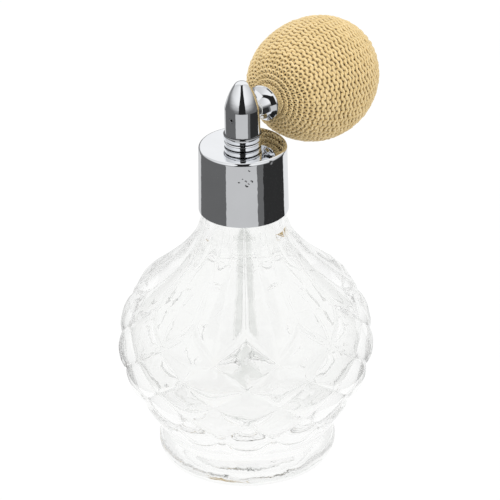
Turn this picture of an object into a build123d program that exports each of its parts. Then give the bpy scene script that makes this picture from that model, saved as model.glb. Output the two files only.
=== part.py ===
from build123d import *
import math
import os

# Bulb perfume atomiser: a pressed glass bottle, a screw collar, a spray tower that turns on it,
# and a knitted air bulb. Millimetres, +Z up, origin at the centre of the foot's underside.
# The bulb lies along +X from the tower and the spray leaves along -X.

# ---- bottle ----
foot_r, foot_belly_r, foot_h = 26.8, 28.15, 8.0
belt_top_r, belt_top_z = 34.6, 57.0
neck_r, neck_step_z = 12.6, 86.5
finish_r, bore_r, rim_z = 10.6, 8.0, 101.5
floor_z = 12.5

# ---- screw thread, one start, right hand ----
thread_pitch = 3.0
thread_crest, thread_root = 0.4, 0.85  # half widths along the axis
bottle_thread_r, bottle_thread_z, bottle_thread_turns = 11.6, 92.0, 1.0
insert_bore_r, insert_thread_r = 11.95, 10.95
insert_thread_z, insert_thread_turns = 91.25, 0.75

# ---- collar ----
collar_z, collar_top_z = 85.0, 106.8
collar_low_r, collar_high_r = 14.05, 13.75
collar_wall, collar_disc = 0.6, 0.8
collar_hole_r = 4.68
insert_low_z, insert_web = 87.0, 1.2

# ---- stem and swivel ----
gasket_in_r, gasket_out_r, gasket_h = 8.2, 10.4, 1.7
flange_r, flange_h = 9.5, 1.6
spigot_r, spigot_top_z, spigot_bore_r = 3.0, 113.9, 0.9
socket_r, socket_low_z, socket_top_z = 3.0, 94.5, 102.0
dip_r, dip_bore_r, dip_low_z = 1.0, 0.6, 16.0
bush_r, bush_h, bush_hub_r = 5.75, 2.0, 4.6
bead_fillet = 0.65
clip_in_r, clip_out_r, clip_z, clip_h = 2.6, 3.6, 110.25, 0.6
seal_z, seal_ring_r, seal_section_r = 112.8, 2.53, 0.5

# ---- tower ----
tower_gap = 0.2
tower_low_z = collar_top_z + bush_h + tower_gap
tower_ring_r, tower_ring_h = 6.0, 2.0
tower_r, nose_z, tower_tip_z = 5.5, 119.6, 128.3
nose_crown = 0.38  # how far the nose bulges from a straight cone
tip_r, tip_h = 2.35, 1.1
tower_bore_r, tower_bore_top_z = 3.08, 114.2
chamber_r, chamber_top_z = 2.6, 119.0
boss_r, boss_x = 3.2, 5.7
bulb_z = 117.0
nozzle_r, nozzle_face_x, orifice_r, dish_r = 0.9, -5.45, 0.3, 0.55
capillary_r, capillary_bore_r, capillary_low_z = 0.82, 0.45, 108.0

# ---- air line along +X ----
stub_r, stub_bore_r, stub_x0, stub_x1 = 1.9, 1.0, 3.2, 9.5
washer_h = 0.3
ferrule_x0, ferrule_x1 = boss_x + washer_h, 10.7
ferrule_throat_r, ferrule_rim_r, ferrule_wall = 3.3, 5.75, 0.45
nut_flats, nut_h = 5.0, 1.5
barb_r, barb_x0, barb_x1 = 2.5, 8.5, 16.2
valve_bore_r, ball_r, seat_hole_r = 1.75, 1.3, 0.8
stop_x, stop_h, seat_x = 9.75, 0.7, 14.2
ball_gap = 0.03

# ---- bulb ----
bulb_x, bulb_r = 35.5, 19.5
bulb_near, bulb_far = 23.0, 22.9
cover_t, rubber_t, soft_gap = 1.0, 2.2, 0.05
cover_neck_r, cover_mouth_r, cover_neck_x = 4.6, 4.1, 10.0
clamp_x0, clamp_x1, clamp_r = 10.6, 12.2, 3.6
rubber_neck_r, rubber_neck_x = 3.3, 9.8
intake_r, intake_x0, intake_x1 = 2.9, 50.6, 58.8
intake_flange_r, intake_flange_h = 4.4, 0.9
intake_seat_x, cage_h = 56.2, 0.7

z_axis = Axis.Z
x_axis = Axis((0, 0, bulb_z), (1, 0, 0))
side = Plane.XZ  # local x is X, local y is Z
along = Plane(origin=(0, 0, bulb_z), x_dir=(1, 0, 0), z_dir=(0, -1, 0))  # local x is X, y is radius


def across(x):
    """A sketch plane square to the bulb's axis at x, facing +X."""
    return Plane(origin=(x, 0, bulb_z), x_dir=(0, 1, 0), z_dir=(1, 0, 0))


def edges_at(builder, radius):
    """The circular edges of this radius."""
    return builder.edges().filter_by(
        lambda e: e.geom_type == GeomType.CIRCLE and math.isclose(e.radius, radius)
    )


def save(builder, name):
    builder.part.label = name
    export_step(builder.part, f"parts/{name}.step")


def ball_centre(seat_plane_x):
    """Where a ball's centre lies when it almost touches a sharp seat facing -X."""
    return seat_plane_x - math.sqrt(ball_r**2 - seat_hole_r**2) - ball_gap


def thread_ridge(root_r, crest_r, start_z, start_turn, turns):
    """One helical ridge from root_r to crest_r, its ends square, as a loose solid."""
    reach = crest_r - root_r
    with BuildPart() as ridge:
        with BuildLine(Plane.XY.offset(start_z)) as path:
            Helix(pitch=thread_pitch, height=thread_pitch * turns, radius=root_r)
        with BuildSketch(Plane(path.line @ 0, x_dir=(1, 0, 0), z_dir=path.line % 0)):
            with BuildLine():
                Polyline(
                    (0, -thread_root), (reach, -thread_crest), (reach, thread_crest),
                    (0, thread_root), close=True,
                )
            make_face()
        sweep(path=path.line, is_frenet=True)
    return ridge.part.rotate(z_axis, 360 * start_turn)


def glass_bottle():
    ridge = thread_ridge(
        finish_r - 0.15, bottle_thread_r, bottle_thread_z, 0, bottle_thread_turns
    )
    with BuildPart() as bottle:
        with BuildSketch(side):
            with BuildLine():
                Line((0, 0), (foot_r, 0))
                ThreePointArc((foot_r, 0), (foot_belly_r, 3.0), (foot_r - 0.4, foot_h))
                Spline(
                    (foot_r - 0.4, foot_h), (28.6, 12.0), (34.0, 20.0), (38.6, 28.5),
                    (40.8, 38.0), (38.9, 49.0), (belt_top_r, belt_top_z),
                )
                Spline(
                    (belt_top_r, belt_top_z), (25.9, 64.0), (18.3, 72.0), (14.0, 80.0),
                    (neck_r, neck_step_z),
                )
                Polyline(
                    (neck_r, neck_step_z), (finish_r, neck_step_z),
                    (finish_r, rim_z), (0, rim_z), (0, 0),
                )
            make_face()
        revolve(axis=z_axis)
        add(ridge)
        with BuildSketch(side):
            with BuildLine():
                Spline(
                    (0, floor_z), (17.0, 13.2), (27.5, 19.0), (34.0, 28.0), (36.0, 38.0),
                    (33.8, 49.0), (26.6, 58.5), (17.6, 67.0), (11.2, 76.5), (bore_r, 88.0),
                    tangents=((1, 0), (0, 1)),
                )
                Polyline((bore_r, 88.0), (bore_r, rim_z), (0, rim_z), (0, floor_z))
            make_face()
        revolve(axis=z_axis, mode=Mode.SUBTRACT)
        rim = bottle.edges().filter_by(GeomType.CIRCLE).group_by(Axis.Z)[-1]
        fillet(rim, 0.6)
    save(bottle, "glass_bottle")


def neck_gasket():
    with BuildPart() as gasket:
        with BuildSketch(Plane.XY.offset(rim_z)):
            Circle(gasket_out_r)
            Circle(gasket_in_r, mode=Mode.SUBTRACT)
        extrude(amount=gasket_h)
        chamfer(gasket.edges(), 0.2)
    save(gasket, "neck_gasket")


def collar_shell():
    skirt_in = collar_low_r - collar_wall
    roof_in = collar_high_r - collar_wall
    roof_z = collar_top_z - collar_disc
    with BuildPart() as shell:
        with BuildSketch(side):
            with BuildLine():
                Polyline(
                    (skirt_in, collar_z), (collar_low_r, collar_z),
                    (collar_high_r, collar_top_z), (collar_hole_r, collar_top_z),
                    (collar_hole_r, roof_z), (roof_in, roof_z), (skirt_in, collar_z),
                )
            make_face()
        revolve(axis=z_axis)
        rings = shell.edges().filter_by(GeomType.CIRCLE)
        crown = rings.group_by(Axis.Z)[-1].sort_by(SortBy.RADIUS)[-1]
        fillet(crown, 1.0)
        hem = shell.edges().filter_by(GeomType.CIRCLE).group_by(Axis.Z)[0]
        fillet(hem, 0.2)
    save(shell, "collar_shell")


def threaded_insert():
    """The moulded inner cap: its skirt follows the collar's draft and carries the thread."""
    roof_z = collar_top_z - collar_disc
    draft = (collar_low_r - collar_high_r) / (collar_top_z - collar_z)
    low_r = collar_low_r - collar_wall - draft * (insert_low_z - collar_z) - 0.05
    high_r = collar_high_r - collar_wall - 0.05
    ridge = thread_ridge(
        insert_bore_r + 0.15, insert_thread_r, insert_thread_z, 0.25, insert_thread_turns
    )
    with BuildPart() as insert:
        with BuildSketch(side):
            with BuildLine():
                Polyline(
                    (insert_bore_r, insert_low_z), (low_r, insert_low_z), (high_r, roof_z),
                    (collar_hole_r, roof_z), (collar_hole_r, roof_z - insert_web),
                    (insert_bore_r, roof_z - insert_web), (insert_bore_r, insert_low_z),
                )
            make_face()
        revolve(axis=z_axis)
        add(ridge)
    save(insert, "threaded_insert")


def stem_plug():
    """The flange that the collar clamps, the spigot that the tower turns on, the tube socket."""
    flange_z = rim_z + gasket_h
    with BuildPart() as stem:
        with BuildSketch(Plane.XY.offset(flange_z)):
            Circle(flange_r)
        extrude(amount=flange_h)
        with BuildSketch(Plane.XY.offset(socket_low_z)):
            Circle(socket_r)
        extrude(amount=flange_z - socket_low_z)
        with BuildSketch(Plane.XY.offset(flange_z + flange_h)):
            Circle(spigot_r)
        extrude(amount=spigot_top_z - flange_z - flange_h)
        with BuildSketch(Plane.XY.offset(socket_low_z)):
            Circle(dip_r + 0.02)
        extrude(amount=socket_top_z - socket_low_z, mode=Mode.SUBTRACT)
        with BuildSketch(Plane.XY.offset(socket_top_z)):
            Circle(spigot_bore_r)
        extrude(amount=spigot_top_z - socket_top_z, mode=Mode.SUBTRACT)
        with BuildSketch(Plane.XY.offset(clip_z - 0.05)):
            Circle(spigot_r + 1)
            Circle(clip_in_r - 0.05, mode=Mode.SUBTRACT)
        extrude(amount=clip_h + 0.1, mode=Mode.SUBTRACT)
        with BuildSketch(Plane.XY.offset(seal_z - seal_section_r - 0.1)):
            Circle(spigot_r + 1)
            Circle(seal_ring_r - seal_section_r - 0.03, mode=Mode.SUBTRACT)
        extrude(amount=2 * seal_section_r + 0.2, mode=Mode.SUBTRACT)
    save(stem, "stem_plug")


def dip_tube():
    """The tube that draws from the bottle, its foot cut on the slant so it can't seal itself."""
    with BuildPart() as tube:
        with BuildSketch(Plane.XY.offset(dip_low_z)):
            Circle(dip_r)
            Circle(dip_bore_r, mode=Mode.SUBTRACT)
        extrude(amount=socket_top_z - 0.1 - dip_low_z)
        slant = Plane(origin=(0, 0, dip_low_z + dip_r), x_dir=(1, 0, 0), z_dir=(-1, 0, 1))
        split(bisect_by=slant, keep=Keep.TOP)
    save(tube, "dip_tube")


def swivel_bush():
    with BuildPart() as bush:
        with BuildSketch(Plane.XY.offset(rim_z + gasket_h + flange_h)):
            Circle(bush_hub_r)
        extrude(amount=collar_top_z - rim_z - gasket_h - flange_h)
        with BuildSketch(Plane.XY.offset(collar_top_z)):
            Circle(bush_r)
        extrude(amount=bush_h)
        fillet(edges_at(bush, bush_r), bead_fillet)
        with BuildSketch(Plane.XY.offset(rim_z + gasket_h)):
            Circle(spigot_r + 0.02)
        extrude(amount=collar_top_z + bush_h - rim_z - gasket_h, mode=Mode.SUBTRACT)
    save(bush, "swivel_bush")


def retaining_ring():
    """A split wire clip: half in the spigot's groove, half in the tower's."""
    with BuildPart() as clip:
        with BuildSketch(Plane.XY.offset(clip_z)):
            Circle(clip_out_r)
            Circle(clip_in_r, mode=Mode.SUBTRACT)
            with Locations((clip_out_r, 0)):
                Rectangle(2.4, 1.2, mode=Mode.SUBTRACT)
        extrude(amount=clip_h)
    save(clip, "retaining_ring")


def swivel_o_ring():
    with BuildPart() as ring:
        with BuildSketch(side):
            with Locations((seal_ring_r, seal_z)):
                Circle(seal_section_r)
        revolve(axis=z_axis)
    save(ring, "swivel_o_ring")


def spray_tower():
    """A round column on a flange, with a bullet nose and a boss for the air line."""
    ring_top = tower_low_z + tower_ring_h
    with BuildPart() as tower:
        with BuildSketch(side):
            with BuildLine():
                Polyline(
                    (0, tower_tip_z), (0, tower_low_z), (tower_ring_r, tower_low_z),
                    (tower_ring_r, ring_top), (tower_r, ring_top + 0.3),
                    (tower_r, nose_z),
                )
                nose = SagittaArc((tower_r, nose_z), (tip_r, tower_tip_z - tip_h), -nose_crown)
                Spline(nose @ 1, (0, tower_tip_z), tangents=(nose % 1, (-1, 0)))
            make_face()
        revolve(axis=z_axis)
        fillet(edges_at(tower, tower_ring_r), bead_fillet)
        with BuildSketch(along):
            Rectangle(boss_x, boss_r, align=(Align.MIN, Align.MIN))
        revolve(axis=x_axis)
        with BuildSketch(side):
            with BuildLine():
                Polyline(
                    (0, tower_low_z), (tower_bore_r, tower_low_z),
                    (tower_bore_r, tower_bore_top_z), (chamber_r, tower_bore_top_z),
                    (chamber_r, chamber_top_z), (0, chamber_top_z + 1.5), (0, tower_low_z),
                )
            make_face()
        revolve(axis=z_axis, mode=Mode.SUBTRACT)
        with BuildSketch(Plane.XY.offset(clip_z - 0.1)):
            Circle(clip_out_r + 0.1)
        extrude(amount=clip_h + 0.2, mode=Mode.SUBTRACT)
        with BuildSketch(across(0)):
            Circle(stub_r + 0.02)
        extrude(amount=boss_x + 1, mode=Mode.SUBTRACT)
        with BuildSketch(across(0)):
            Circle(nozzle_r + 0.02)
        extrude(amount=-tower_r - 1, mode=Mode.SUBTRACT)
    save(tower, "spray_tower")


def nozzle_insert():
    """The jet: a turned plug with a fine hole that opens into a dish at its face."""
    back_x, feed_r = -2.4, capillary_r + 0.02
    with BuildPart() as nozzle:
        with BuildSketch(along):
            with BuildLine():
                Polyline(
                    (back_x, feed_r), (back_x, nozzle_r), (nozzle_face_x, nozzle_r),
                    (nozzle_face_x, dish_r), (nozzle_face_x + 0.6, orifice_r),
                    (nozzle_face_x + 1.6, orifice_r), (nozzle_face_x + 1.6, feed_r),
                    (back_x, feed_r),
                )
            make_face()
        revolve(axis=x_axis)
    save(nozzle, "nozzle_insert")


def liquid_tube():
    """The capillary from the spigot's bore, bent once into the back of the jet."""
    bend = 1.5
    front_x = nozzle_face_x + 1.7
    with BuildPart() as tube:
        with BuildLine() as path:
            FilletPolyline(
                (0, 0, capillary_low_z), (0, 0, bulb_z), (front_x, 0, bulb_z), radius=bend
            )
        with BuildSketch(Plane.XY.offset(capillary_low_z)):
            Circle(capillary_r)
            Circle(capillary_bore_r, mode=Mode.SUBTRACT)
        sweep(path=path.line)
    save(tube, "liquid_tube")


def tube_on_x(name, x0, x1, outer, inner):
    """A plain tube round the bulb's axis."""
    with BuildPart() as tube:
        with BuildSketch(across(x0)):
            Circle(outer)
            Circle(inner, mode=Mode.SUBTRACT)
        extrude(amount=x1 - x0)
    save(tube, name)


def bulb_ferrule():
    """The chrome bell: a trumpet from its throat at the tower to a thin rolled lip."""
    lip = 0.22
    web_x = ferrule_x0 + 0.8
    with BuildPart() as bell:
        with BuildSketch(along):
            with BuildLine():
                outside = Spline(
                    (ferrule_x0, ferrule_throat_r), (8.6, 4.05), (10.15, ferrule_rim_r - 0.2),
                    tangents=((1, 0.1), (0.75, 1)),
                )
                Polyline(
                    outside @ 1, (ferrule_x1 - lip, ferrule_rim_r), (ferrule_x1, ferrule_rim_r),
                    (ferrule_x1, ferrule_rim_r - ferrule_wall),
                )
                inside = Spline(
                    (ferrule_x1, ferrule_rim_r - ferrule_wall), (8.9, 3.75), (web_x, 3.0),
                    tangents=((-0.75, -1), (-1, -0.12)),
                )
                Polyline(
                    inside @ 1, (web_x, stub_r + 0.02), (ferrule_x0, stub_r + 0.02),
                    (ferrule_x0, ferrule_throat_r),
                )
            make_face()
        revolve(axis=x_axis)
    save(bell, "bulb_ferrule")


def ferrule_nut():
    """A thin hexagon nut on the air stub, which clamps the bell against the tower's boss."""
    with BuildPart() as nut:
        with BuildSketch(across(ferrule_x0 + 0.8)):
            RegularPolygon(nut_flats / 2, 6, major_radius=False)
            Circle(stub_r + 0.02, mode=Mode.SUBTRACT)
        extrude(amount=nut_h)
    save(nut, "ferrule_nut")


def valve_barb():
    """The outlet valve's housing, which the bulb's neck is pushed over."""
    with BuildPart() as barb:
        with BuildSketch(along):
            with BuildLine():
                Polyline(
                    (barb_x0, stub_r + 0.02), (barb_x0, barb_r), (10.0, barb_r),
                    (10.4, barb_r - 0.3), (11.8, barb_r), (12.2, barb_r - 0.3),
                    (13.6, barb_r), (14.0, barb_r - 0.3), (15.4, barb_r),
                    (barb_x1, barb_r - 0.3), (barb_x1, valve_bore_r),
                    (stop_x - 0.05, valve_bore_r), (stop_x - 0.05, stub_r + 0.02),
                    (barb_x0, stub_r + 0.02),
                )
            make_face()
        revolve(axis=x_axis)
    save(barb, "valve_barb")


def pierced_disc(name, x0, thickness):
    """A ball stop: a disc that lets air round the ball through three holes."""
    with BuildPart() as disc:
        with BuildSketch(across(x0)):
            Circle(valve_bore_r - 0.02)
            with PolarLocations(1.05, 3):
                Circle(0.42, mode=Mode.SUBTRACT)
        extrude(amount=thickness)
    save(disc, name)


def ball(name, x):
    with BuildPart() as sphere:
        with Locations((x, 0, bulb_z)):
            Sphere(ball_r)
    save(sphere, name)


def egg(grow, hole_near, hole_far):
    """Half the bulb's outline grown by grow, from radius hole_near to radius hole_far."""
    near, far, high = bulb_near + grow, bulb_far + grow, bulb_r + grow
    near_end = math.degrees(math.asin(hole_near / high))
    far_end = math.degrees(math.asin(hole_far / high))
    first = EllipticalCenterArc((bulb_x, 0), near, high, 90, arc_size=90 - near_end)
    second = EllipticalCenterArc((bulb_x, 0), far, high, far_end, arc_size=90 - far_end)
    return first, second


def rubber_bulb():
    """The hollow rubber bulb with its neck; it ends in a round hole for the intake valve."""
    outer = -cover_t - soft_gap
    with BuildPart() as rubber:
        with BuildSketch(along):
            with BuildLine():
                near, far = egg(outer, rubber_neck_r, intake_r + soft_gap)
                near_in, far_in = egg(outer - rubber_t, barb_r + soft_gap, intake_r + soft_gap)
                Polyline(near @ 1, (rubber_neck_x, rubber_neck_r),
                         (rubber_neck_x, barb_r + soft_gap), near_in @ 1)
                Line(far @ 0, far_in @ 0)
            make_face()
        revolve(axis=x_axis)
    save(rubber, "rubber_bulb")


def knit_cover():
    """The knitted cover's envelope: a skin over the rubber, drawn in round the neck and valve."""
    with BuildPart() as cover:
        with BuildSketch(along):
            with BuildLine():
                near, far = egg(0, cover_neck_r, intake_r + soft_gap)
                near_in, far_in = egg(-cover_t, clamp_r + soft_gap, intake_r + soft_gap)
                Polyline(near @ 1, (cover_neck_x, cover_mouth_r),
                         (cover_neck_x, clamp_r + soft_gap), near_in @ 1)
                Line(far @ 0, far_in @ 0)
            make_face()
        revolve(axis=x_axis)
    save(cover, "knit_cover")


def intake_valve():
    """The one-way valve in the bulb's far end: a plug whose outer flange holds the cover."""
    with BuildPart() as plug:
        with BuildSketch(along):
            with BuildLine():
                Polyline(
                    (intake_x0, valve_bore_r), (intake_x0, intake_r), (intake_x1, intake_r),
                    (intake_x1, intake_flange_r), (intake_x1 + intake_flange_h, intake_flange_r),
                    (intake_x1 + intake_flange_h, seat_hole_r), (intake_seat_x, seat_hole_r),
                    (intake_seat_x, valve_bore_r), (intake_x0, valve_bore_r),
                )
            make_face()
        revolve(axis=x_axis)
        rim = plug.edges().filter_by(GeomType.CIRCLE).group_by(Axis.X)[-1]
        fillet(rim.sort_by(SortBy.RADIUS)[-1], 0.4)
    save(plug, "intake_valve_body")


def main():
    os.makedirs("parts", exist_ok=True)
    glass_bottle()
    neck_gasket()
    collar_shell()
    threaded_insert()
    stem_plug()
    dip_tube()
    swivel_bush()
    retaining_ring()
    swivel_o_ring()
    spray_tower()
    nozzle_insert()
    liquid_tube()
    tube_on_x("air_stub", stub_x0, stub_x1, stub_r, stub_bore_r)
    tube_on_x("stub_washer", boss_x, ferrule_x0, boss_r - 0.1, stub_r + 0.02)
    bulb_ferrule()
    ferrule_nut()
    valve_barb()
    pierced_disc("ball_stop", stop_x, stop_h)
    ball("outlet_ball", ball_centre(seat_x))
    tube_on_x("valve_seat", seat_x, barb_x1, valve_bore_r - 0.02, seat_hole_r)
    rubber_bulb()
    tube_on_x("neck_clamp", clamp_x0, clamp_x1, clamp_r, rubber_neck_r)
    knit_cover()
    intake_valve()
    pierced_disc("intake_cage", intake_x0, cage_h)
    ball("intake_ball", ball_centre(intake_seat_x))


main()
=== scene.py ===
"""Looks of a bulb perfume atomiser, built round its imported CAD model.

Metres, +Z up, in the CAD's frame: the bottle stands on z = 0 and the bulb lies along +X.
The glass is a new mesh with its pressed relief. The bulb's cover is knitted from yarn, loop by loop,
over a new rubber bulb. The chrome, plastic and brass pieces are the CAD's own, with procedural finishes.
"""
import math

import bpy
import numpy as np
from mathutils import Matrix, Vector
from mathutils.bvhtree import BVHTree


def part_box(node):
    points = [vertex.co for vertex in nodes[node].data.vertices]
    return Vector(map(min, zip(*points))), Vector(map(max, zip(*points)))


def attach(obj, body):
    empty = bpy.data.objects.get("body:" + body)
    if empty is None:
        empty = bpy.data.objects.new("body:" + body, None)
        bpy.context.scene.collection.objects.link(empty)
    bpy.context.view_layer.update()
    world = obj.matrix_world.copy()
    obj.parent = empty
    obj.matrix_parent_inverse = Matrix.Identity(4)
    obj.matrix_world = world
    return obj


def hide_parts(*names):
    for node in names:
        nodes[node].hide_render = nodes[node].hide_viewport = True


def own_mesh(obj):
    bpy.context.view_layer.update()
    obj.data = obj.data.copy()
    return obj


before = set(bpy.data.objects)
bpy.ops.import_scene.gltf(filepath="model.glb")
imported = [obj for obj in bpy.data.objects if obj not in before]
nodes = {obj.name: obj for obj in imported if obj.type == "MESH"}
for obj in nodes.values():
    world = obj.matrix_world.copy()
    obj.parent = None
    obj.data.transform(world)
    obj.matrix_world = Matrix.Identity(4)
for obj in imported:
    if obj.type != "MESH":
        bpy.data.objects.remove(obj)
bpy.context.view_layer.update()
MM = 0.001

# ---- camera: azimuth 0 looks along +Y ----
view_azimuth, view_elevation = math.radians(-51.0), math.radians(28.29)
view_roll = math.radians(-0.9)
lens_mm = 260.2
view_distance = 1.136
look_at = Vector((0, 0, 0.060))
aim_right, aim_up = 0.00174, 0.00886  # where the frame's centre lies beside look_at

# ---- pressed glass relief ----
ridge_azimuth = 9.0  # degrees, of the first of the flutes' ridges
columns = 12
cell_h = 15.5 * MM  # a diamond's height
lattice_top = 57.5 * MM
lattice_fade = (13.0 * MM, 18.5 * MM)  # heights between which it fades into the plain foot
groove_depth = 1.3 * MM
pillow_power = 0.75  # under 1 flattens a diamond's middle and narrows the grooves
flute_depth = 0.042  # of the radius
flute_fade = 0.14  # of a diamond's height, over which a flute ends in the zigzag
flute_start = 6 * MM  # height over which the flutes begin, under the collar
crest_round = 0.30  # of a column's width
crease_half, crease_depth = 0.045, 0.009  # of a column's width, and of the radius
ripple_depth, ripple_full_r = 0.09 * MM, 40 * MM  # the unevenness, at this radius: less at the neck
ripple_waves, ripple_base = 14, 1.5  # the base keeps the uneven surface inside the envelope

# ---- the bottle's foot, neck, thread and cavity ----
foot_top, neck_top, rim_z = 8.0 * MM, 86.5 * MM, 101.5 * MM
rim_round = 0.6 * MM
thread_z, thread_pitch, thread_rise = 92 * MM, 3 * MM, 1 * MM
thread_crest_half, thread_root_half = 0.4 * MM, 0.85 * MM
thread_end = 0.25  # radians over which the ridge rises and ends
neck_z, bore_z = thread_z + 4.5 * MM, rim_z - 3 * MM  # plain heights, where the radii are measured
bore_start = 2 * MM  # under the rim
cavity_middle, cavity_top = 38 * MM, 88 * MM
cavity_sweep = (78, -89)  # degrees above the horizon, from the shoulder to the floor
cavity_gap = 1.5 * MM  # from the bore's last ring to the shoulder's first

# ---- how fine the bottle's mesh is ----
grid_per_cell = 36  # points across a diamond, and rows down it
coarse_ratio = 3  # the neck and the inside have this many times fewer points round
foot_count, shoulder_count, neck_count, bore_count, cavity_count = 13, 48, 40, 10, 64  # rings
least_z = 0.01 * MM  # the lowest height at which the outside is measured

# ---- chrome ----
tower_grooves = (106.9 * MM, 108.9 * MM, 111.15 * MM)  # heights of the grooves, where dark shade is painted
groove_half = 0.32 * MM
# reach of the painted black shade round the nozzle's orifice
jet_shade_r = 0.65 * MM

# ---- knit ----
wales = 36
course_pitch, first_course = 1.66 * MM, 0.6  # the first course's place, in pitches from the mouth
yarn_r, yarn_thinnest = 0.42 * MM, 0.50
full_wale = 2.6 * MM  # in a narrower wale the yarn is bunched thinner, down to yarn_thinnest
loop_reach, reach_thinnest = 1.22 * MM, 0.72  # half a loop's length along the bulb, its least share
loop_swing = 1.42  # sideways sway of a loop's legs, in 1/2pi of a wale
loop_relief = 0.34 * MM
sway_wobble, sway_jitter = 0.14, 0.22  # wobble is slow along a course, jitter is stitch by stitch
reach_jitter, course_wobble = 0.12, 0.12 * MM
lift_jitter, lift_wobble = 0.07 * MM, 0.05 * MM
wobble_waves, wobble_spread = (3, 7, 13, 29), 0.45
bead_lift, bead_swell, bead_sink = 1.3, 0.35, 0.3  # bunched at the mouth, each loop's head is a bead
steps_per_loop = 20
yarn_sides = 9
knit_pieces = 4
plies, ply_pitch, ply_depth = 3, 1.5 * MM, 0.13
# painted shade between the yarn's plies, as a share of its tone
painted_ply_shade = 0.15

# ---- the soft bulb ----
cover_start_degrees = 10.4  # from the bulb's middle, off its axis, to the cover's mouth
cover_end_r = 3.5 * MM
# how far from the cover's mouth the painted shade on the rubber reaches
mouth_shade_r = 24 * MM
cover_low, cover_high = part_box("knit_cover")
bulb_z = (cover_low.z + cover_high.z) / 2
bulb_middle_x = 35.5 * MM
bulb_sag, bulb_reach = 1.4 * MM, 0.5 * MM  # the soft bulb hangs a little, and bellies out
rubber_rings, rubber_sides = 120, 144
rubber_dip, rubber_lobes = 0.06 * MM, 5
rubber_twist, rubber_wave = 260, 400  # radians per metre along the bulb

# ---- studio: brightness, by degrees round from the camera's side and degrees above the horizon ----
tent_r, tent_z, tent_inner_r = 0.68, 0.11, 0.06
tent_floor_count, tent_wall_count = 12, 26
floor_cards = (  # from, to, brightness
    (-180, -136, 0.66), (-136, -44, 0.14), (-44, 35, 0.60),
    (35, 51, 0.15), (51, 123, 0.03), (123, 180, 0.86),
)
strip_low, strip_high = 0.38, 0.22  # sines of the dark gap's half angle, at the horizon and higher up
strip_narrowed, strip_top = 40, 86.0  # where it is down to strip_high, and where it ends
strip_sides, strip_level = 90, 0.02
box_low, box_gain, box_dimming = 0.14, 0.86, 0.28  # the two soft boxes beside the gap
box_rise, box_fade, box_sides = (-3, 18), (20, 110), 122  # brighter upwards, dimmer round the side
wall_low, wall_gain, wall_rise = 0.25, 0.75, (8, 20)  # the walls behind the object
world_strength = 1.15
backdrop_r, backdrop_count = 2.0, 16
backdrop_far, backdrop_near, backdrop_gap = 0.97, 0.90, 0.22  # what the glass lets through
far_sides, far_heights = (60, 125), (35, 75)  # from near to far
gap_sides, gap_heights = (34, 16), (60, 35)  # from the gap's edge to its full dark
floor_half, floor_drop = 8.0, 0.05 * MM
floor_glow, floor_albedo, floor_mottle = 0.96, 0.05, 0.03

rng = np.random.default_rng(7)
ripples = [
    (int(rng.integers(-26, 27)), rng.uniform(0.3, 1.6), rng.uniform(0, 2 * math.pi))
    for _ in range(ripple_waves)
]


# ------------------------------------------------------------------ mesh helpers
def new_mesh(name, points, faces, smooth=True):
    """An object from points (n, 3) and faces (m, 3 or 4) as arrays."""
    faces = np.asarray(faces, np.int32)
    mesh = bpy.data.meshes.new(name)
    mesh.vertices.add(len(points))
    mesh.vertices.foreach_set("co", np.asarray(points, np.float32).ravel())
    mesh.loops.add(faces.size)
    mesh.loops.foreach_set("vertex_index", faces.ravel())
    mesh.polygons.add(len(faces))
    sides = faces.shape[1]
    mesh.polygons.foreach_set("loop_start", np.arange(0, faces.size, sides, dtype=np.int32))
    mesh.polygons.foreach_set("use_smooth", np.full(len(faces), smooth))
    mesh.update(calc_edges=True)
    mesh.validate()
    made = bpy.data.objects.new(name, mesh)
    bpy.context.scene.collection.objects.link(made)
    return made


def smoothstep(low, high, x):
    t = np.clip((np.asarray(x, float) - low) / (high - low), 0, 1)  # low may be the larger
    return t * t * (3 - 2 * t)


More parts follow.
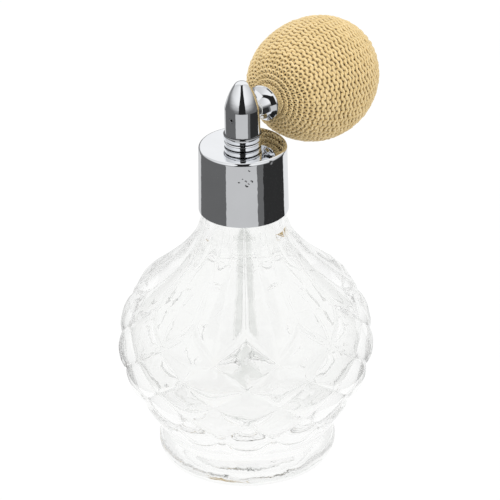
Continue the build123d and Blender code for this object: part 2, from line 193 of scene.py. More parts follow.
# ------------------------------------------------------------------ material helpers
class Finish:
    """A material with one Principled shader, and short ways to add nodes to it."""

    def __init__(self, name, **sockets):
        self.material = bpy.data.materials.new(name)
        self.material.use_nodes = True
        self.nodes = self.material.node_tree.nodes
        self.links = self.material.node_tree.links
        self.shader = self.nodes["Principled BSDF"]
        for socket, value in sockets.items():
            self.shader.inputs[socket.replace("_", " ")].default_value = value
        self.coords = self.nodes.new("ShaderNodeTexCoord").outputs["Object"]

    def noise(self, scale, detail=3.0, stretch=None, roughness=0.5):
        """About scale lumps to the metre, longer along an axis whose stretch is small."""
        node = self.nodes.new("ShaderNodeTexNoise")
        node.inputs["Scale"].default_value = scale
        node.inputs["Detail"].default_value = detail
        node.inputs["Roughness"].default_value = roughness
        self.links.new(self.stretched(stretch), node.inputs["Vector"])
        return node.outputs["Fac"]

    def cells(self, scale):
        """Distance from the nearest of a foam's cell centres, about scale of them to the metre."""
        node = self.nodes.new("ShaderNodeTexVoronoi")
        node.inputs["Scale"].default_value = scale
        self.links.new(self.coords, node.inputs["Vector"])
        return node.outputs["Distance"]

    def stretched(self, stretch):
        if stretch is None:
            return self.coords
        node = self.nodes.new("ShaderNodeMapping")
        node.inputs["Scale"].default_value = stretch
        self.links.new(self.coords, node.inputs["Vector"])
        return node.outputs["Vector"]

    def ranged(self, value, low, high, start=0.0, end=1.0):
        """value from start..end carried to low..high."""
        node = self.nodes.new("ShaderNodeMapRange")
        for socket, number in zip(("From Min", "From Max", "To Min", "To Max"), (start, end, low, high)):
            node.inputs[socket].default_value = number
        self.links.new(value, node.inputs["Value"])
        return node.outputs["Result"]

    def ramp(self, value, *stops):
        """A colour ramp: stops are (position, (r, g, b))."""
        node = self.nodes.new("ShaderNodeValToRGB")
        elements = node.color_ramp.elements
        while len(elements) < len(stops):
            elements.new(0.5)
        for element, (position, colour) in zip(elements, stops):
            element.position = position
            element.color = (*colour, 1)
        self.links.new(value, node.inputs["Fac"])
        return node.outputs["Color"]

    def math(self, operation, *values):
        node = self.nodes.new("ShaderNodeMath")
        node.operation = operation
        for socket, value in zip(node.inputs, values):
            if isinstance(value, (int, float)):
                socket.default_value = value
            else:
                self.links.new(value, socket)
        return node.outputs[0]

    def attribute(self, name):
        node = self.nodes.new("ShaderNodeAttribute")
        node.attribute_name = name
        return node.outputs["Fac"]

    def dent(self, centre, radius, axes=(1, 1, 1)):
        """1 at centre, falling to 0 at radius. An axis given as 0 doesn't count."""
        flat, node = self.nodes.new("ShaderNodeVectorMath"), self.nodes.new("ShaderNodeVectorMath")
        flat.operation, node.operation = "MULTIPLY", "DISTANCE"
        self.links.new(self.coords, flat.inputs[0])
        flat.inputs[1].default_value = axes
        self.links.new(flat.outputs["Vector"], node.inputs[0])
        node.inputs[1].default_value = [c * axis for c, axis in zip(centre, axes)]
        return self.ranged(node.outputs["Value"], 1, 0, 0, radius)

    def band(self, height, half):
        """1 at this height and close to it, falling to 0 half a band away."""
        node = self.nodes.new("ShaderNodeSeparateXYZ")
        self.links.new(self.coords, node.inputs[0])
        off = self.math("ABSOLUTE", self.math("SUBTRACT", node.outputs["Z"], height))
        flat_top = 0.3 * half
        return self.ranged(off, 1, 0, flat_top, half)

    def mixed(self, factor, first, second):
        """The first colour where factor is 0, the plain second colour where it is 1."""
        node = self.nodes.new("ShaderNodeMix")
        node.data_type = "RGBA"
        factor_in, a_in, b_in, colour_out = 0, 6, 7, 2  # by place: the node's sockets share their names
        self.links.new(factor, node.inputs[factor_in])
        self.links.new(first, node.inputs[a_in])
        node.inputs[b_in].default_value = (*second, 1)
        return node.outputs[colour_out]

    def bump(self, height, distance, strength=1.0):
        """Adds a bump, on top of any that is there."""
        node = self.nodes.new("ShaderNodeBump")
        node.inputs["Strength"].default_value = strength
        node.inputs["Distance"].default_value = distance
        self.links.new(height, node.inputs["Height"])
        socket = self.shader.inputs["Normal"]
        if socket.is_linked:
            self.links.new(socket.links[0].from_socket, node.inputs["Normal"])
        self.links.new(node.outputs["Normal"], socket)

    def set(self, socket, output):
        self.links.new(output, self.shader.inputs[socket])


# ------------------------------------------------------------------ finishes
def glass_finish():
    """Clear pressed glass, with slow and fine ripples from the mould."""
    tint = (0.966, 0.969, 0.963, 1)
    f = Finish("glass", Base_Color=tint, Roughness=0.0, Transmission_Weight=1.0, IOR=1.46)
    f.bump(f.noise(90, 2), 0.0002)
    f.bump(f.noise(420, 2), 0.00002)
    return f.material


def chrome_finish(name="chrome", dents=(), grooves=()):
    """Bright plating: a faint orange peel, fine rub marks, small dents, painted dark shade in the
    grooves.

    dents are (centre, radius, depth); grooves are heights.
    """
    f = Finish(name, Metallic=1.0)
    bright, groove_shade = (0.86, 0.875, 0.90), (0.10, 0.10, 0.105)
    tone = f.ramp(f.noise(140, 3), (0.3, tuple(0.97 * c for c in bright)), (0.7, bright))
    # painted shade: a near-black band of colour at each groove's height
    for height in grooves:
        tone = f.mixed(f.band(height, groove_half), tone, groove_shade)
    f.set("Base Color", tone)
    rub = f.noise(900, 4, stretch=(1, 1, 0.12))
    f.set("Roughness", f.ranged(rub, 0.015, 0.06, 0.35, 0.75))
    f.bump(f.noise(250, 2), 0.00005)
    for centre, radius, depth in dents:
        f.bump(f.dent(centre, radius), depth)
    return f.material


def collar_dents():
    """A cluster of dings on the collar's front and one near its crown.

    Each is (turn from the camera's side in degrees, height, radius, depth), in mm.
    """
    front = math.degrees(camera_side())
    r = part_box("collar_shell")[1].x * 0.98  # just under the surface
    for turn, z, radius, depth in (
        (-5.5, 100.9, 0.50, -0.16), (-1.0, 101.6, 0.35, 0.10), (3.0, 100.9, 0.45, 0.15),
        (4.5, 99.6, 0.60, -0.20), (8.0, 104.6, 0.40, -0.12), (10.5, 100.8, 0.50, 0.16),
        (7.0, 100.2, 0.35, -0.12), (39.0, 105.9, 0.80, -0.25),
    ):
        angle = math.radians(front + turn)
        yield (r * math.cos(angle), r * math.sin(angle), z * MM), radius * MM, depth * MM


def yarn_finish():
    """Soft twisted yarn in warm sand: fibres, slubs of tone along it, and painted shade deep in the
    stitch and between the plies.
    """
    f = Finish("knit", Roughness=0.62, Specular_IOR_Level=0.35, Sheen_Weight=0.4, Sheen_Roughness=0.4)
    fibre = f.noise(2600, 4, roughness=0.7)
    slub = f.noise(300, 3)
    # the depth attribute is painted shade: the yarn is coloured darker where it lies deep in the stitch
    # and between its plies
    depth_shade_share, slub_share, fibre_share = 0.52, 0.26, 0.28
    painted_depth_shade = f.math("MULTIPLY", f.attribute("depth"), depth_shade_share)
    tone = f.math("ADD", painted_depth_shade, f.math("MULTIPLY", slub, slub_share))
    tone = f.math("ADD", tone, f.math("MULTIPLY", fibre, fibre_share))
    # the ramp's dark stops carry the painted shade of the deep yarn
    f.set("Base Color", f.ramp(
        tone,
        (0.10, (0.36, 0.26, 0.105)),
        (0.40, (0.53, 0.39, 0.17)),
        (0.68, (0.68, 0.515, 0.25)),
        (0.95, (0.86, 0.71, 0.43)),
    ))
    f.bump(fibre, 0.00008, 0.9)
    return f.material


def rubber_finish():
    """The rubber seen between the stitches: dusty with yarn, with painted shade darkening it towards the
    cover's mouth.
    """
    f = Finish("black_rubber", Specular_IOR_Level=0.3)
    mottle = f.noise(260, 4)
    dusty = f.ramp(mottle, (0.3, (0.24, 0.17, 0.075)), (0.75, (0.34, 0.245, 0.115)))
    # painted shade: the rubber is coloured near black towards the cover's mouth, by the collar
    shade_nearness = f.dent((cover_low.x, 0, bulb_z), mouth_shade_r)
    mouth = f.ranged(shade_nearness, 0, 1, 0.2, 0.7)
    f.set("Base Color", f.mixed(mouth, dusty, (0.05, 0.033, 0.014)))
    f.set("Roughness", f.ranged(mottle, 0.55, 0.8))
    f.bump(f.noise(1500, 3), 0.00003)
    return f.material


def moulded_finish(name, colour, roughness, **sockets):
    """Injection-moulded plastic: a fine spark-eroded grain and slow unevenness."""
    f = Finish(name, **sockets)
    slow, grain = f.noise(120, 2), f.noise(3500, 2)
    darker = tuple(0.9 * c for c in colour)
    f.set("Base Color", f.ramp(slow, (0.3, darker), (0.7, colour)))
    f.set("Roughness", f.ranged(grain, roughness - 0.05, roughness + 0.08))
    f.bump(grain, 0.00001)
    return f.material


def foam_finish():
    """The gasket's pale closed-cell foam."""
    f = Finish("seal_foam", Roughness=0.85)
    pores = f.cells(2600)
    f.set("Base Color", f.ramp(pores, (0.1, (0.55, 0.55, 0.52)), (0.6, (0.82, 0.82, 0.79))))
    f.bump(pores, 0.00006)
    return f.material


def turned_finish(name, colour):
    """Metal turned round the X axis: tool lines round the work, and a slightly uneven tone."""
    f = Finish(name, Metallic=1.0)
    lines = f.noise(600, 3, stretch=(6.0, 0.4, 0.4))
    darker = tuple(0.8 * c for c in colour)
    f.set("Base Color", f.ramp(f.noise(250, 3), (0.3, darker), (0.7, colour)))
    f.set("Roughness", f.ranged(lines, 0.14, 0.34))
    f.bump(lines, 0.00002)
    return f.material


def jet_finish():
    """The plated insert, with painted black shade round its orifice for the dark inside the hole."""
    f = Finish("jet", Specular_IOR_Level=0.0)
    low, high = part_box("nozzle_insert")
    orifice = (low.x, (low.y + high.y) / 2, (low.z + high.z) / 2)
    # painted shade: matt black near the orifice stands in for the dark inside the hole
    shade_nearness = f.dent(orifice, jet_shade_r, (0, 1, 1))  # whatever the depth in the orifice
    hole_shade = f.ranged(shade_nearness, 0, 1, 0.1, 0.3)
    bright = f.ramp(f.noise(250, 3), (0.3, (0.62, 0.63, 0.65)), (0.7, (0.80, 0.81, 0.84)))
    f.set("Base Color", f.mixed(hole_shade, bright, (0.004, 0.004, 0.004)))
    f.set("Metallic", f.ranged(hole_shade, 1, 0))
    f.set("Roughness", f.ranged(f.noise(900, 3), 0.08, 0.2))
    return f.material


def make_finishes():
    return {
        "glass": glass_finish(),
        "chrome": chrome_finish(),
        "tower_chrome": chrome_finish("tower_chrome", grooves=tower_grooves),
        "collar_chrome": chrome_finish("collar_chrome", dents=collar_dents()),
        "knit": yarn_finish(),
        "black_rubber": rubber_finish(),
        "white_plastic": moulded_finish("white_plastic", (0.86, 0.86, 0.83), 0.35),
        "clear_plastic": moulded_finish(
            "clear_plastic", (0.975, 0.98, 0.975), 0.12, Transmission_Weight=0.97, IOR=1.03
        ),
        "seal_foam": foam_finish(),
        "jet": jet_finish(),
        "steel": turned_finish("steel", (0.62, 0.62, 0.63)),
        "brass": turned_finish("brass", (0.78, 0.60, 0.32)),
    }


def finish_cad_nodes(finishes):
    """Gives each CAD node the finish of its slot, or its own one."""
    special = {
        "collar_shell": "collar_chrome", "spray_tower": "tower_chrome", "swivel_bush": "tower_chrome",
        "nozzle_insert": "jet",
    }
    for name, node in nodes.items():
        slot = node.data.materials[0].name.split(".")[0]
        node.data.materials[0] = finishes[special.get(name, slot)]


# ------------------------------------------------------------------ reading shapes from the frame
class Surface:
    """A CAD node's surface, to measure by shooting rays at it."""

    def __init__(self, node):
        mesh = nodes[node].data
        points = [v.co for v in mesh.vertices]
        self.tree = BVHTree.FromPolygons(points, [p.vertices for p in mesh.polygons])

    def hit(self, start, way):
        place = self.tree.ray_cast(Vector(start), Vector(way))[0]
        if place is None:
            raise ValueError(f"nothing from {start} along {way}")
        return place

    def radius_at(self, z, outside):
        """The bottle's radius at height z, as the mean of 8 directions."""
        found = []
        for turn in np.arange(8) * math.pi / 4 + 0.1:  # off the facets' edges
            way = np.array((math.cos(turn), math.sin(turn), 0))
            start = way * 0.1 * outside + np.array((0, 0, z))  # from 0.1 m away, or from the axis
            place = self.hit(start, -way if outside else way)
            found.append(math.hypot(place.x, place.y))
        return float(np.mean(found))


def evened(values, passes):
    """Takes the facets out of a row of measured values, whose ends stay."""
    values = np.array(values, float)
    for _ in range(passes):
        values[1:-1] = 0.25 * values[:-2] + 0.5 * values[1:-1] + 0.25 * values[2:]
    return values


# ------------------------------------------------------------------ glass bottle
def pillow(u, w):
    """0 on a groove, 1 in the middle of a diamond. u counts columns, w counts diamonds downwards."""
    a, b = (u + w) % 1, (u - w) % 1
    return (4 * a * (1 - a) * 4 * b * (1 - b)) ** pillow_power


def relief_depth(z, u, radius):
    """How far the pressed pattern lies inside the bottle's envelope, u columns round from a ridge."""
    w = (lattice_top - z) / cell_h
    across = u % 1
    edge = np.minimum(across, 1 - across)
    rounded = np.hypot(edge, crest_round) - crest_round
    flute = flute_depth * radius * 4 * rounded * (1 - rounded)
    flute = flute + crease_depth * radius * (1 - smoothstep(0, crease_half, edge))
    flute = flute * (1 - smoothstep(neck_top - flute_start, neck_top, z))
    diamond = groove_depth * (1 - pillow(u, w))
    into_flute = smoothstep(0, flute_fade, edge - w)  # the flutes end in a zigzag, w = edge
    depth = np.where(w > edge, diamond, groove_depth + (flute - groove_depth) * into_flute)
    uneven = ripple_depth * (radius / ripple_full_r) ** 2 * (ripple_base + ripple(u, w))
    return (depth + uneven) * smoothstep(*lattice_fade, z)


def ripple(u, w):
    """Slow unevenness of the pressed surface, about -1..1, the same after a whole turn."""
    total = 0
    for around, down, phase in ripples:
        total = total + np.sin(2 * math.pi * (around * u / columns + down * w) + phase)
    return total / math.sqrt(ripple_waves)


def outside_heights():
    """Heights of the outer rings, the foot's number of them, and the number of rows in the belt."""
    foot = np.linspace(0, foot_top, foot_count)
    row_h = cell_h / grid_per_cell
    rows = int((lattice_top - foot_top) / row_h)
    belt = lattice_top - row_h * np.arange(rows, -1, -1)
    shoulder = np.linspace(lattice_top, neck_top, shoulder_count)[1:]
    return np.concatenate([foot, belt, shoulder]), len(foot), rows


def ring_turns(count):
    """Angles of a ring's points, the first of them on a ridge."""
    return math.radians(ridge_azimuth) + 2 * math.pi * np.arange(count) / count


def ring(radius, z, count):
    """Points round the bottle's axis. radius and z are one value, or one for each point."""
    turn = ring_turns(count)
    radius = np.broadcast_to(radius, turn.shape)
    return np.stack([radius * np.cos(turn), radius * np.sin(turn), np.broadcast_to(z, turn.shape)], 1)


def outside_rings(surface):
    """Rings of the outside with its relief, from the floor up, the belt's first ring, and its rows."""
    z, foot_rows, rows = outside_heights()
    radius = np.array([surface.radius_at(max(h, least_z), True) for h in z])
    radius[foot_rows:] = evened(radius[foot_rows:], passes=6)
    slope = np.gradient(radius, z)
    count = columns * grid_per_cell
    u = np.arange(count) / grid_per_cell
    rings = []
    for h, r, s in zip(z, radius, slope):
        depth = relief_depth(h, u, r)
        out, up = 1 / math.hypot(1, s), -s / math.hypot(1, s)
        flat = min(1.0, h / foot_top)  # the foot keeps its flat underside
        rings.append(ring(r - depth * out, h - depth * up * flat, count))
    return rings, foot_rows, rows


def thread_height(z, turn):
    """The thread's ridge, one right-hand turn, standing out of the neck."""
    centre = thread_z + thread_pitch * turn / (2 * math.pi)
    ridge = 1 - smoothstep(thread_crest_half, thread_root_half, np.abs(z - centre))
    ends = smoothstep(0, thread_end, turn) * smoothstep(0, thread_end, 2 * math.pi - turn)
    return thread_rise * ridge * ends


def neck_rings(surface, count):
    """The neck's outside with its thread, the rounded rim, and the start of the bore."""
    neck_r, bore_r = surface.radius_at(neck_z, True), surface.radius_at(bore_z, False)
    turn = ring_turns(count) % (2 * math.pi)
    rings = [
        ring(neck_r + thread_height(z, turn), z, count)
        for z in np.linspace(neck_top, rim_z - rim_round, neck_count)
    ]
    for angle in np.radians((30, 60, 90)):
        z = rim_z - rim_round * (1 - math.sin(angle))
        rings.append(ring(neck_r - rim_round * (1 - math.cos(angle)), z, count))
    for angle in np.radians((90, 60, 30, 0)):
        z = rim_z - rim_round * (1 - math.sin(angle))
        rings.append(ring(bore_r + rim_round * (1 - math.cos(angle)), z, count))
    return rings


def cavity_rings(surface, count):
    """The inside: down the bore, then the shoulder and the floor as seen from the cavity's middle."""
    bore = np.linspace(rim_z - bore_start, cavity_top, bore_count)
    rings = [ring(surface.radius_at(z, False), z, count) for z in bore]
    middle = np.array((0, 0, cavity_middle))
    below = cavity_top - cavity_gap
    first = math.atan2(below - cavity_middle, surface.radius_at(below, False))
    angles = np.radians(np.linspace(*cavity_sweep, cavity_count))
    angles = angles[angles < first]
    found = [surface.hit(middle, (math.cos(a), 0, math.sin(a))) for a in angles]
    radii, heights = evened([p.x for p in found], passes=2), evened([p.z for p in found], passes=2)
    rings += [ring(r, z, count) for r, z in zip(radii, heights)]
    return rings


class Skin:
    """Rings of points joined into one closed triangle mesh, each ring to the next."""

    def __init__(self, first):
        self.points, self.faces, self.last = [first], [], np.arange(len(first))
        self.count = len(first)

    def next(self, points, diagonal=None):
        """Joins a ring. diagonal, one for each quad, is true where quads() cuts it the other way."""
        here = self.count + np.arange(len(points))
        if len(here) == len(self.last):
            self.quads(self.last, here, diagonal)
        else:
            self.fans(self.last, here)
        self.points.append(points)
        self.last = here
        self.count += len(points)

    def quads(self, low, high, diagonal):
        """Cuts each quad from low to high_next, or where diagonal is true from low_next to high."""
        low_next, high_next = np.roll(low, -1), np.roll(high, -1)
        cut = np.zeros(len(low), bool) if diagonal is None else diagonal
        first = np.where(cut, high, high_next)
        second = np.where(cut, low_next, low)
        self.faces.append(np.stack([low, low_next, first], 1))
        self.faces.append(np.stack([second, high_next, high], 1))

    def fans(self, fine, coarse):
        """From a ring of many points to one of fewer."""
        ratio = len(fine) // len(coarse)
        for step in range(ratio):
            a, b = fine[step::ratio], np.roll(fine, -1)[step::ratio]
            apex = coarse if step <= ratio // 2 else np.roll(coarse, -1)
            self.faces.append(np.stack([a, b, apex], 1))
            if step == ratio // 2:
                self.faces.append(np.stack([b, np.roll(coarse, -1), apex], 1))

    def close(self, point, start=False):
        """Fans the last ring, or the first, to one point."""
        ring_ids = np.arange(len(self.points[0])) if start else self.last
        following = np.roll(ring_ids, -1)
        centre = np.full(len(ring_ids), self.count)
        order = (following, ring_ids, centre) if start else (ring_ids, following, centre)
        self.faces.append(np.stack(order, 1))
        self.points.append(np.array([point]))
        self.count += 1

    def mesh(self, name):
        return new_mesh(name, np.concatenate(self.points), np.concatenate(self.faces))


def glass_bottle():
    """The whole bottle as one closed mesh, its quads cut along the grooves of the diamonds."""
    surface = Surface("glass_bottle")
    outside, belt_start, rows = outside_rings(surface)
    fine = columns * grid_per_cell
    skin = Skin(outside[0])
    skin.close((0, 0, 0), start=True)
    for number, points in enumerate(outside[1:], 1):
        rows_down = rows - (number - belt_start)  # below the lattice's top
        skin.next(points, (np.arange(fine) + rows_down + 1) % grid_per_cell != 0)
    coarse = fine // coarse_ratio
    for points in neck_rings(surface, coarse) + cavity_rings(surface, coarse):
        skin.next(points)
    skin.close((0, 0, surface.hit((0, 0, cavity_middle), (0, 0, -1)).z))
    bottle = skin.mesh("pressed_glass_bottle")
    bottle.data.set_sharp_from_angle(angle=math.radians(50))
    return bottle


# ------------------------------------------------------------------ knitted cover and rubber bulb
def bulb_outline(node):
    """(arc length, x, radius) along a bulb node's outside, from its mouth to the intake valve."""
    surface = Surface(node)
    middle = np.array((bulb_middle_x, 0, bulb_z))
    x, radius = [], []
    for angle in np.radians(np.arange(cover_start_degrees, 179.5, 0.5)):
        way = np.array((-math.cos(angle), 0, math.sin(angle)))
        place = surface.hit(middle + 0.05 * way, -way)  # from 50 mm out
        if angle > math.pi / 2 and place.z - bulb_z < cover_end_r:
            break
        x.append(place.x)
        radius.append(place.z - bulb_z)
    x, radius = evened(x, passes=4), evened(radius, passes=4)
    arc = np.concatenate([[0], np.cumsum(np.hypot(np.diff(x), np.diff(radius)))])
    return arc, x, radius


def on_bulb(outline, s, turn, out):
    """Points at arc s, angle turn round the bulb's axis, and out along the surface's normal."""
    arc, x, radius = outline
    at_x, at_r = np.interp(s, arc, x), np.interp(s, arc, radius)
    slope_x = np.interp(s, arc, np.gradient(x, arc))
    slope_r = np.interp(s, arc, np.gradient(radius, arc))
    size = np.hypot(slope_x, slope_r)
    slack = np.sin(math.pi * np.clip(s / arc[-1], 0, 1)) ** 2
    at_x = at_x - out * slope_r / size + bulb_reach * slack
    at_r = at_r + out * slope_x / size
    return np.stack([at_x, at_r * np.sin(turn), bulb_z - bulb_sag * slack + at_r * np.cos(turn)], -1)


def slow_wobble(count):
    """Smooth noise round a closed course, about -1..1."""
    turn = 2 * math.pi * np.arange(count) / count
    total = np.zeros(count)
    for waves in wobble_waves:
        total += rng.normal(0, wobble_spread) * np.sin(waves * turn + rng.uniform(0, 2 * math.pi))
    return total


def stitch_noise():
    """A random value for each half stitch of a course, carried smoothly between them."""
    values = rng.uniform(-1, 1, 2 * wales)
    at = np.arange(wales * steps_per_loop) * 2 / steps_per_loop
    share = smoothstep(0, 1, at % 1)
    whole = at.astype(int)
    return values[whole % (2 * wales)] * (1 - share) + values[(whole + 1) % (2 * wales)] * share


def yarn_course(outline, s):
    """One course of loops: the yarn's centre line, points outward of it, its radius and its height."""
    t = 2 * math.pi * np.arange(wales * steps_per_loop) / steps_per_loop
    count = len(t)
    sway = loop_swing * np.sin(2 * t)
    turn = (t + sway + sway_wobble * slow_wobble(count) + sway_jitter * stitch_noise()) / wales
    room = 2 * math.pi * np.interp(s, outline[0], outline[2]) / wales
    thin = np.clip(room / full_wale, yarn_thinnest, 1.0)
    reach = loop_reach * max(thin, reach_thinnest) * (1 + reach_jitter * stitch_noise())
    along = s + reach * np.cos(t) + course_wobble * slow_wobble(count)
    bead = (1 - thin) / (1 - yarn_thinnest)  # 0 where the yarn is full, 1 where it is thinnest
    wave = (1 - bead) * np.cos(2 * t) + bead_lift * bead * np.cos(t)
    lift = loop_relief * wave + lift_jitter * stitch_noise() + lift_wobble * slow_wobble(count)
    thick = yarn_r * thin * (1 + bead_swell * bead * np.cos(t))
    out = lift - (1 + bead_sink * bead) * loop_relief - yarn_r * thin
    return on_bulb(outline, along, turn, out), on_bulb(outline, along, turn, out + MM), thick, out


def yarn_tube(centre, outer, radius, out):
    """The twisted three-ply tube round a closed centre line, and its painted shade value: 0 deep in the
    stitch (darkest), 1 outside, lower between the plies.
    """
    ahead = np.roll(centre, -1, 0) - np.roll(centre, 1, 0)
    ahead /= np.linalg.norm(ahead, axis=1)[:, None]
    normal = outer - centre
    normal -= ahead * (normal * ahead).sum(1)[:, None]
    normal /= np.linalg.norm(normal, axis=1)[:, None]
    side = np.cross(ahead, normal)
    length = np.cumsum(np.linalg.norm(np.roll(centre, -1, 0) - centre, axis=1))
    twists = round(length[-1] / ply_pitch)
    angle = 2 * math.pi * np.arange(yarn_sides) / yarn_sides
    ply = np.cos(plies * angle[None] + 2 * math.pi * twists * (length / length[-1])[:, None])
    r = (radius[:, None] * (1 + ply_depth * ply))[..., None]
    rim = np.cos(angle)[:, None] * normal[:, None] + np.sin(angle)[:, None] * side[:, None]
    points = centre[:, None] + r * rim
    height = out[:, None] + radius[:, None] * np.cos(angle)[None]
    # painted shade: darker the deeper the yarn lies under the cover's outside, and darker between the
    # plies
    thickness = 2 * loop_relief + 2 * yarn_r
    depth = np.clip((height + thickness) / thickness, 0, 1)
    return points.reshape(-1, 3), (depth * (1 - painted_ply_shade + painted_ply_shade * ply)).ravel()


def tube_faces(length, sides, first):
    """Quads of a closed tube whose points are numbered from first, ring by ring."""
    i = np.arange(length)[:, None] * sides
    next_i = np.roll(np.arange(length), -1)[:, None] * sides
    j = np.arange(sides)[None]
    next_j = (j + 1) % sides
    return first + np.stack([i + j, next_i + j, next_i + next_j, i + next_j], -1).reshape(-1, 4)


def knit_cover():
    """The cover as a plain knit turned purl side out, its courses round the bulb's axis."""
    outline = bulb_outline("knit_cover")
    courses = int((outline[0][-1] - loop_reach) / course_pitch)
    pieces = []
    for share in np.array_split(np.arange(courses), knit_pieces):
        points, painted_shades, faces, first = [], [], [], 0
        for course in share:
            centre, outer, radius, out = yarn_course(outline, (course + first_course) * course_pitch)
            tube, depth = yarn_tube(centre, outer, radius, out)
            faces.append(tube_faces(len(centre), yarn_sides, first))
            points.append(tube)
            painted_shades.append(depth)
            first += len(tube)
        piece = new_mesh(f"knit_cover_{len(pieces) + 1}", np.concatenate(points), np.concatenate(faces))
        # the painted shade, which the knit's colour reads
        attribute = piece.data.attributes.new("depth", "FLOAT", "POINT")
        attribute.data.foreach_set("value", np.concatenate(painted_shades).astype(np.float32))
        pieces.append(piece)
    return pieces


def rubber_bulb():
    """The air bulb under the knit: moulded rubber with a slightly uneven skin."""
    outline = bulb_outline("rubber_bulb")
    turn = 2 * math.pi * np.arange(rubber_sides) / rubber_sides
    rings = []
    for at in np.linspace(0, outline[0][-1], rubber_rings):
        dip = rubber_dip * np.sin(rubber_lobes * turn + rubber_twist * at) * np.sin(rubber_wave * at)
        rings.append(on_bulb(outline, np.full(rubber_sides, at), turn, dip))
    skin = Skin(rings[0])
    for points in rings[1:]:
        skin.next(points)
    skin.close((skin.points[-1][:, 0].mean(), 0, bulb_z))
    skin.close((skin.points[0][:, 0].mean(), 0, bulb_z), start=True)
    return skin.mesh("rubber_air_bulb")


# ------------------------------------------------------------------ floor, light and reflected cards
def floor_card(azimuth):
    """Brightness on the floor. Azimuth in degrees from the camera's side, positive to its right."""
    return next(level for low, high, level in floor_cards if low <= azimuth < high)


def dome_card(azimuth, elevation):
    """Brightness of the walls and ceiling: a dark gap behind the camera between two soft boxes."""
    side = abs(azimuth)
    sideways = abs(math.sin(math.radians(azimuth))) * math.cos(math.radians(elevation))
    half = strip_low + (strip_high - strip_low) * float(smoothstep(0, strip_narrowed, elevation))
    if side < strip_sides and sideways < half and elevation < strip_top:
        return strip_level
    if side < box_sides:
        rise = float(smoothstep(*box_rise, elevation))
        outer = float(smoothstep(*box_fade, side))
        return box_low + (box_gain - box_dimming * outer) * rise
    return wall_low + wall_gain * float(smoothstep(*wall_rise, elevation))


def glow_material(name, attribute):
    """Light from a mesh's own colours, not picked out as a lamp."""
    material = bpy.data.materials.new(name)
    material.use_nodes = True
    material.cycles.emission_sampling = "NONE"
    tree = material.node_tree
    tree.nodes.clear()
    colour = tree.nodes.new("ShaderNodeAttribute")
    colour.attribute_name = attribute
    light = tree.nodes.new("ShaderNodeEmission")
    output = tree.nodes.new("ShaderNodeOutputMaterial")
    tree.links.new(colour.outputs["Color"], light.inputs["Color"])
    tree.links.new(light.outputs["Emission"], output.inputs["Surface"])
    return material


def surround(name, profile, brightness):
    """Rings of quads round the object. brightness(row, azimuth) gives a quad's first and second edge."""
    edges = np.arange(-180, 181, 1.0)
    turn = camera_side() + np.radians(edges)
    width = len(edges)
    points = [np.stack([r * np.cos(turn), r * np.sin(turn), np.full(width, z)], 1) for r, z in profile]
    faces, colours = [], []
    for row in range(len(profile) - 1):
        for column in range(width - 1):
            first = row * width + column
            faces.append((first, first + 1, first + 1 + width, first + width))
            low, high = brightness(row, edges[column] + 0.5)
            colours += [low, low, high, high]
    made = new_mesh(name, np.concatenate(points), faces, smooth=False)
    layer = made.data.color_attributes.new("card", "FLOAT_COLOR", "CORNER")
    layer.data.foreach_set("color", np.repeat(np.array(colours), 4))
    made.data.materials.append(glow_material(name, "card"))
    made.visible_camera = made.visible_diffuse = made.visible_shadow = False
    made.visible_volume_scatter = False
    return made


def tent():
    """What polished metal sees round it: cards on the floor, walls and a ceiling."""
    profile = [(r, 1 * MM) for r in np.linspace(tent_inner_r, tent_r, tent_floor_count)]
    lowest = -math.degrees(math.asin(tent_z / tent_r))
    elevations = np.linspace(lowest, 90, tent_wall_count)
    for e in np.radians(elevations[1:]):
        profile.append((tent_r * math.cos(e), tent_z + tent_r * math.sin(e)))
    last_floor_row = tent_floor_count - 2

    def brightness(row, azimuth):
        if row <= last_floor_row:
            return floor_card(azimuth), floor_card(azimuth)
        step = row - last_floor_row - 1
        return dome_card(azimuth, elevations[step]), dome_card(azimuth, elevations[step + 1])

    surround("reflected_cards", profile, brightness).visible_transmission = False


def backdrop():
    """The pale walls that show through the glass, darker on the camera's side and dark behind it."""
    elevations = np.linspace(0, 90, backdrop_count)
    profile = [(backdrop_r * math.cos(e), backdrop_r * math.sin(e)) for e in np.radians(elevations)]

    def level(elevation, side):
        far = max(float(smoothstep(*far_sides, side)), float(smoothstep(*far_heights, elevation)))
        gap = float(smoothstep(*gap_sides, side) * smoothstep(*gap_heights, elevation))
        wall = backdrop_near + (backdrop_far - backdrop_near) * far
        return wall + (backdrop_gap - wall) * gap

    def brightness(row, azimuth):
        return level(elevations[row], abs(azimuth)), level(elevations[row + 1], abs(azimuth))

    surround("pale_backdrop", profile, brightness).visible_glossy = False


def floor():
    """A white floor that glows, so that it stays white round the object's faint shadow."""
    corners = [(x * floor_half, y * floor_half, 0) for x, y in ((-1, -1), (1, -1), (1, 1), (-1, 1))]
    made = new_mesh("floor", corners, [(0, 1, 2, 3)])
    made.location.z = -floor_drop
    f = Finish("floor", Roughness=0.9, Specular_IOR_Level=0.0)
    f.shader.inputs["Emission Color"].default_value = (1, 1, 1, 1)
    f.shader.inputs["Emission Strength"].default_value = floor_glow
    low, high = (1 - floor_mottle) * floor_albedo, (1 + floor_mottle) * floor_albedo
    f.set("Base Color", f.ramp(f.noise(6, 2), (0.3, (low, low, low)), (0.7, (high, high, high))))
    made.data.materials.append(f.material)


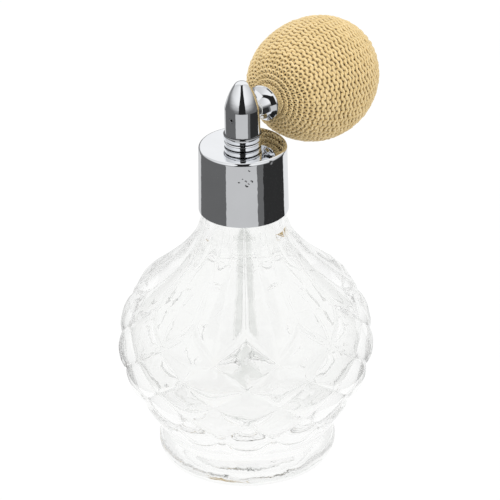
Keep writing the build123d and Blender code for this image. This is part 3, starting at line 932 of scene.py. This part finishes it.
def lights():
    """A white world and two soft lamps, unseen in the chrome and through the glass."""
    world = bpy.data.worlds.new("studio")
    bpy.context.scene.world = world
    world.use_nodes = True
    world.node_tree.nodes["Background"].inputs["Color"].default_value = (1, 1, 1, 1)
    world.node_tree.nodes["Background"].inputs["Strength"].default_value = world_strength
    right, _, back = camera_axes()
    for name, place, size, watts in (
        ("key", look_at + back * 0.5 - right * 0.45 + Vector((0, 0, 0.75)), 0.6, 4.0),
        ("fill", look_at + back * 0.2 + right * 0.8 + Vector((0, 0, 0.35)), 0.6, 1.5),
    ):
        data = bpy.data.lights.new(name, "AREA")
        data.size, data.energy = size, watts
        lamp = bpy.data.objects.new(name, data)
        aim = (place - look_at).to_track_quat("Z", "Y").to_matrix().to_4x4()
        lamp.matrix_world = Matrix.Translation(place) @ aim
        lamp.visible_glossy = lamp.visible_camera = lamp.visible_transmission = False
        bpy.context.scene.collection.objects.link(lamp)


# ------------------------------------------------------------------ camera
def camera_side():
    """The direction, seen from above, from the object to the camera."""
    return math.atan2(-math.cos(view_azimuth), math.sin(view_azimuth))


def camera_axes():
    """Right, up and back of a level camera that looks at look_at."""
    e, a = view_elevation, view_azimuth
    back = Vector((math.sin(a) * math.cos(e), -math.cos(a) * math.cos(e), math.sin(e)))
    right = Vector((math.cos(a), math.sin(a), 0))
    return right, back.cross(right), back


def make_camera():
    right, up, back = camera_axes()
    place = look_at + back * view_distance
    back = (place - (look_at + right * aim_right + up * aim_up)).normalized()
    right = Vector((0, 0, 1)).cross(back).normalized()
    turn = Matrix((right, back.cross(right), back)).transposed() @ Matrix.Rotation(view_roll, 3, "Z")
    data = bpy.data.cameras.new("camera")
    data.lens = lens_mm
    data.clip_end = 20
    camera = bpy.data.objects.new("camera", data)
    camera.matrix_world = Matrix.Translation(place) @ turn.to_4x4()
    bpy.context.scene.collection.objects.link(camera)
    bpy.context.scene.camera = camera


def dress(piece, finish, slot, body, *replaced):
    """Gives a new piece its finish and body, and hides the CAD nodes that it stands for. slot is not
    used.
    """
    piece.data.materials.append(finish)
    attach(piece, body)
    if replaced:
        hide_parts(*replaced)
    return piece


make_camera()
finishes = make_finishes()
finish_cad_nodes(finishes)

glass = dress(glass_bottle(), finishes["glass"], "glass", "bottle", "glass_bottle")
glass.visible_shadow = False  # clear glass hardly darkens the floor

soft = [dress(rubber_bulb(), finishes["black_rubber"], "black_rubber", "tower", "rubber_bulb")]
knit = knit_cover()
for number, piece in enumerate(knit):
    replaced = ("knit_cover",) if number == 0 else ()
    soft.append(dress(piece, finishes["knit"], "knit", "tower", *replaced))
for piece in soft:
    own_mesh(piece)

floor()
tent()
backdrop()
lights()
for kind, bounces in (("max", 64), ("transmission", 64), ("glossy", 32)):  # thick glass needs many
    setattr(bpy.context.scene.cycles, f"{kind}_bounces", bounces)
bpy.context.scene.view_settings.view_transform = "Standard"
